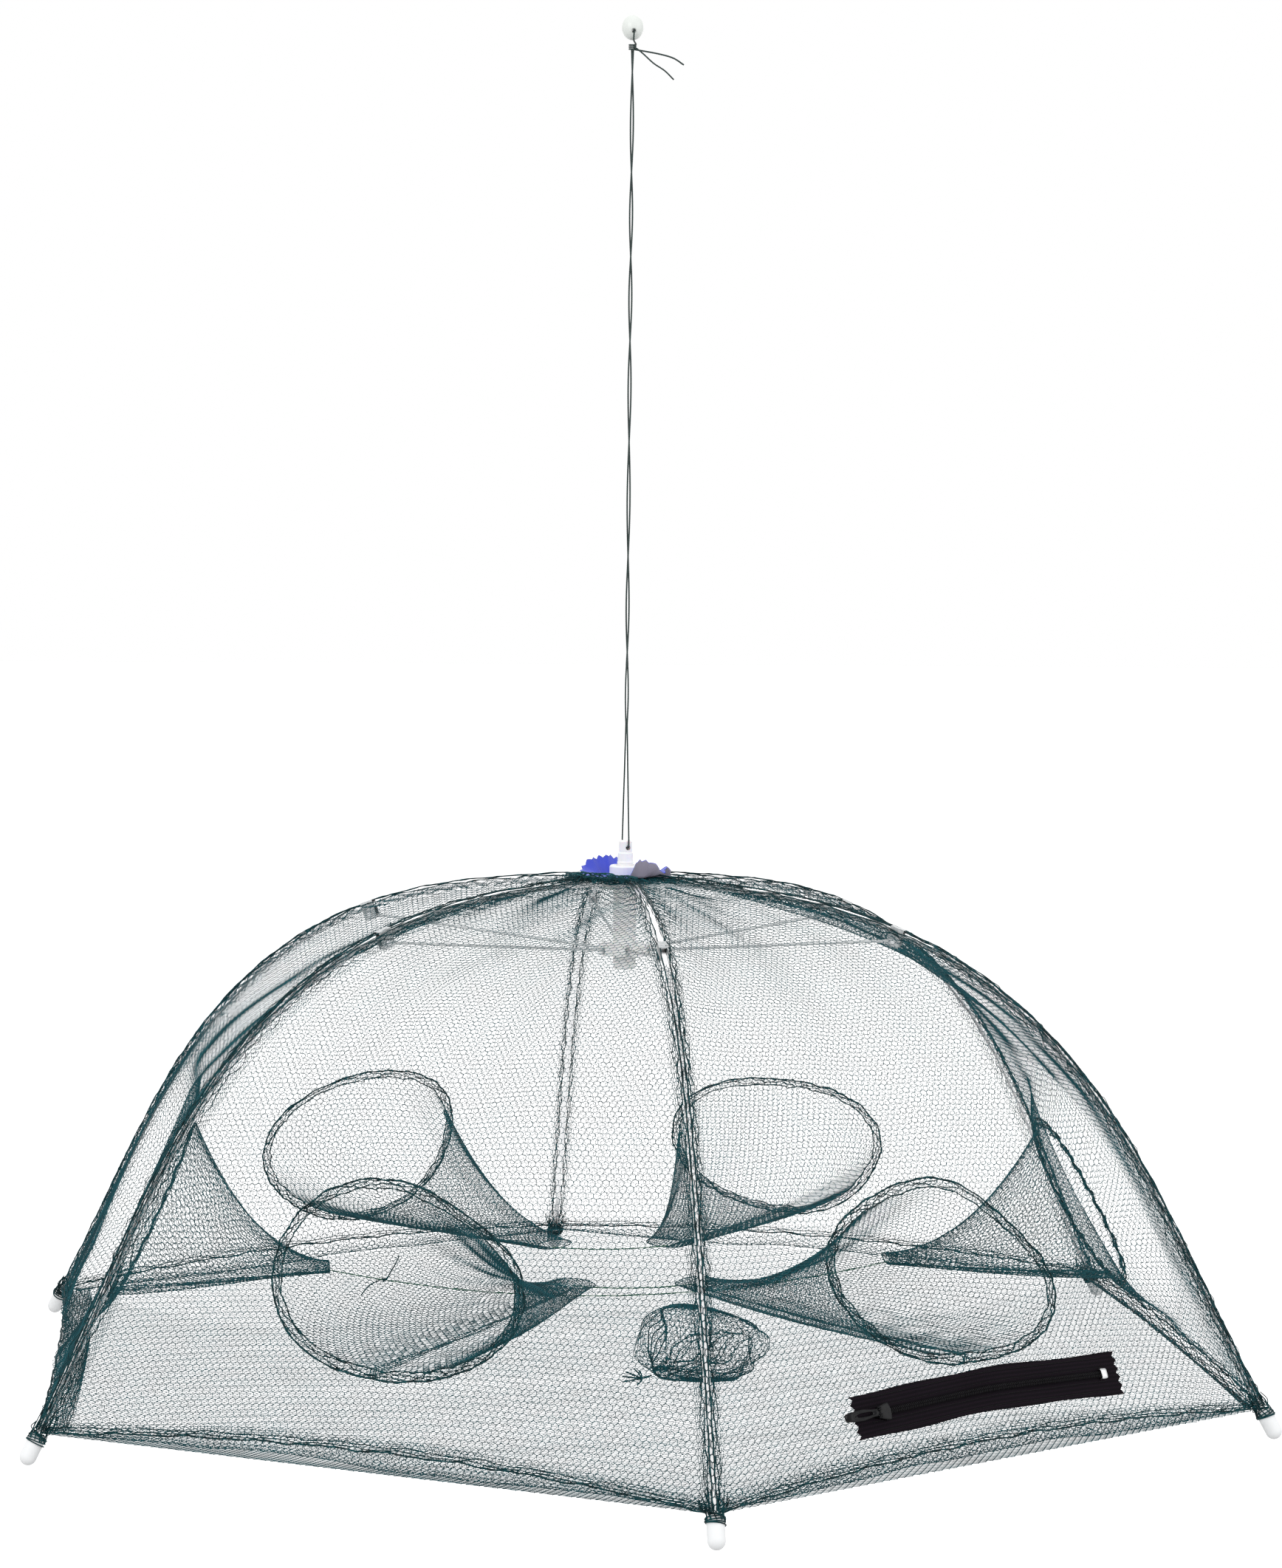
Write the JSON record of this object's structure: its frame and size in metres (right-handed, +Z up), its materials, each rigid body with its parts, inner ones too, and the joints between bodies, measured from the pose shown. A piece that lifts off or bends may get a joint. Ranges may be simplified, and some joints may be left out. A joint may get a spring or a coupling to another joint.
{
  "type": "umbrella trap",
  "caption": "Folding dome-shaped net trap with funnel entrances on every side, curved ribs on a sliding hub, a zip opening and a pull cord with a bead.",
  "frame": {"origin": "centre of the pull bead at the top of the cord, by which the trap hangs", "axes": "+Z up along the pull cord; the front rib lies towards -Y and the zip is on the side between -Y and +X"},
  "size_m": [0.753, 0.8678, 0.8731],
  "materials": {
    "netting": "knotted fine twine, dark green",
    "cord": "twisted twine, dark green",
    "tie_string": "thin braided string, green",
    "rib_steel": "bright plated strip",
    "rivet_steel": "plain",
    "zinc_steel": "zinc plated, dull",
    "zip_tape": "woven tape with a moulded coil, black",
    "zip_black": "black enamel",
    "zip_stop": "crimped metal",
    "blue_cloth": "coated cloth, glossy blue above and grey below",
    "bead_plastic": "translucent white",
    "cap_plastic": "white, slightly glossy",
    "white_plastic": "moulded, white"
  },
  "bodies": {
    "stem": {"runner": "white_plastic", "pull_cord": "cord", "cord_knot": "cord", "pull_bead": "bead_plastic"},
    "hub": {"hub": "white_plastic", "hub_ring": "zinc_steel", "hub_cap": "white_plastic", "cloth_disc": "blue_cloth", "bait_bag": "netting", "floor_net": "netting", "funnel_1": "netting", "funnel_2": "netting", "funnel_3": "netting", "funnel_4": "netting", "funnel_5": "netting", "funnel_6": "netting", "side_net_1": "netting", "side_net_2": "netting", "side_net_3": "netting", "side_net_4": "netting", "side_net_5": "netting", "side_net_6": "netting", "tie_string_1": "tie_string", "tie_string_2": "tie_string", "tie_string_3": "tie_string", "zip_stop": "zip_stop"},
    "rib_1": {"rib_1": "rib_steel", "clip_1": "zinc_steel", "rivet_1": "rivet_steel", "tip_cap_1": "cap_plastic", "zip_tape": "zip_tape"},
    "stretcher_1": {"stretcher_1": "zinc_steel"},
    "rib_2": {"rib_2": "rib_steel", "clip_2": "zinc_steel", "rivet_2": "rivet_steel", "tip_cap_2": "cap_plastic"},
    "stretcher_2": {"stretcher_2": "zinc_steel"},
    "rib_3": {"rib_3": "rib_steel", "clip_3": "zinc_steel", "rivet_3": "rivet_steel", "tip_cap_3": "cap_plastic"},
    "stretcher_3": {"stretcher_3": "zinc_steel"},
    "rib_4": {"rib_4": "rib_steel", "clip_4": "zinc_steel", "rivet_4": "rivet_steel", "tip_cap_4": "cap_plastic"},
    "stretcher_4": {"stretcher_4": "zinc_steel"},
    "rib_5": {"rib_5": "rib_steel", "clip_5": "zinc_steel", "rivet_5": "rivet_steel", "tip_cap_5": "cap_plastic"},
    "stretcher_5": {"stretcher_5": "zinc_steel"},
    "rib_6": {"rib_6": "rib_steel", "clip_6": "zinc_steel", "rivet_6": "rivet_steel", "tip_cap_6": "cap_plastic"},
    "stretcher_6": {"stretcher_6": "zinc_steel"},
    "zip_slider": {"zip_slider": "zip_black"},
    "zip_puller": {"zip_puller": "zip_black"}
  },
  "joints": [
    {"name": "hub_slide", "type": "slide", "parent": "stem", "child": "hub", "axis": [0, 0, 1], "range_m": [0, 0.25308], "deforming": ["bait_bag", "floor_net", "funnel_1", "funnel_2", "funnel_3", "funnel_4", "funnel_5", "funnel_6", "side_net_1", "side_net_2", "side_net_3", "side_net_4", "side_net_5", "side_net_6", "tie_string_1", "tie_string_2", "tie_string_3", "zip_tape"]},
    {"name": "rib_fold_1", "type": "hinge", "parent": "hub", "child": "rib_1", "pos_m": [0, -0.012, -0.546], "axis": [1, 0, 0], "range_deg": [0, 50]},
    {"name": "stretcher_turn_1", "type": "hinge", "parent": "rib_1", "child": "stretcher_1", "pos_m": [0, -0.1834, -0.5745], "axis": [-1, 0, 0], "range_deg": [0, 104.59]},
    {"name": "rib_fold_2", "type": "hinge", "parent": "hub", "child": "rib_2", "pos_m": [0.01039, -0.006, -0.546], "axis": [0.5, 0.866, 0], "range_deg": [0, 50]},
    {"name": "stretcher_turn_2", "type": "hinge", "parent": "rib_2", "child": "stretcher_2", "pos_m": [0.15883, -0.0917, -0.5745], "axis": [-0.5, -0.866, 0], "range_deg": [0, 104.59]},
    {"name": "rib_fold_3", "type": "hinge", "parent": "hub", "child": "rib_3", "pos_m": [0.01039, 0.006, -0.546], "axis": [-0.5, 0.866, 0], "range_deg": [0, 50]},
    {"name": "stretcher_turn_3", "type": "hinge", "parent": "rib_3", "child": "stretcher_3", "pos_m": [0.15883, 0.0917, -0.5745], "axis": [0.5, -0.866, 0], "range_deg": [0, 104.59]},
    {"name": "rib_fold_4", "type": "hinge", "parent": "hub", "child": "rib_4", "pos_m": [0, 0.012, -0.546], "axis": [-1, 0, 0], "range_deg": [0, 50]},
    {"name": "stretcher_turn_4", "type": "hinge", "parent": "rib_4", "child": "stretcher_4", "pos_m": [0, 0.1834, -0.5745], "axis": [1, 0, 0], "range_deg": [0, 104.59]},
    {"name": "rib_fold_5", "type": "hinge", "parent": "hub", "child": "rib_5", "pos_m": [-0.01039, 0.006, -0.546], "axis": [-0.5, -0.866, 0], "range_deg": [0, 50]},
    {"name": "stretcher_turn_5", "type": "hinge", "parent": "rib_5", "child": "stretcher_5", "pos_m": [-0.15883, 0.0917, -0.5745], "axis": [0.5, 0.866, 0], "range_deg": [0, 104.59]},
    {"name": "rib_fold_6", "type": "hinge", "parent": "hub", "child": "rib_6", "pos_m": [-0.01039, -0.006, -0.546], "axis": [0.5, -0.866, 0], "range_deg": [0, 50]},
    {"name": "stretcher_turn_6", "type": "hinge", "parent": "rib_6", "child": "stretcher_6", "pos_m": [-0.15883, -0.0917, -0.5745], "axis": [-0.5, 0.866, 0], "range_deg": [0, 104.59]},
    {"name": "zip_slide", "type": "slide", "parent": "rib_1", "child": "zip_slider", "axis": [0.866, 0.5, 0], "range_m": [0, 0.1632]},
    {"name": "puller_turn", "type": "hinge", "parent": "zip_slider", "child": "zip_puller", "pos_m": [0.10276, -0.35198, -0.80962], "axis": [-0.213, 0.3689, 0.9047], "range_deg": [0, 170]}
  ],
  "couplings": [
    {"joint": "rib_fold_1", "follows": "hub_slide", "rad_per_m": 3.4482},
    {"joint": "stretcher_turn_1", "follows": "hub_slide", "rad_per_m": 7.2128},
    {"joint": "rib_fold_2", "follows": "hub_slide", "rad_per_m": 3.4482},
    {"joint": "stretcher_turn_2", "follows": "hub_slide", "rad_per_m": 7.2128},
    {"joint": "rib_fold_3", "follows": "hub_slide", "rad_per_m": 3.4482},
    {"joint": "stretcher_turn_3", "follows": "hub_slide", "rad_per_m": 7.2128},
    {"joint": "rib_fold_4", "follows": "hub_slide", "rad_per_m": 3.4482},
    {"joint": "stretcher_turn_4", "follows": "hub_slide", "rad_per_m": 7.2128},
    {"joint": "rib_fold_5", "follows": "hub_slide", "rad_per_m": 3.4482},
    {"joint": "stretcher_turn_5", "follows": "hub_slide", "rad_per_m": 7.2128},
    {"joint": "rib_fold_6", "follows": "hub_slide", "rad_per_m": 3.4482},
    {"joint": "stretcher_turn_6", "follows": "hub_slide", "rad_per_m": 7.2128}
  ]
}
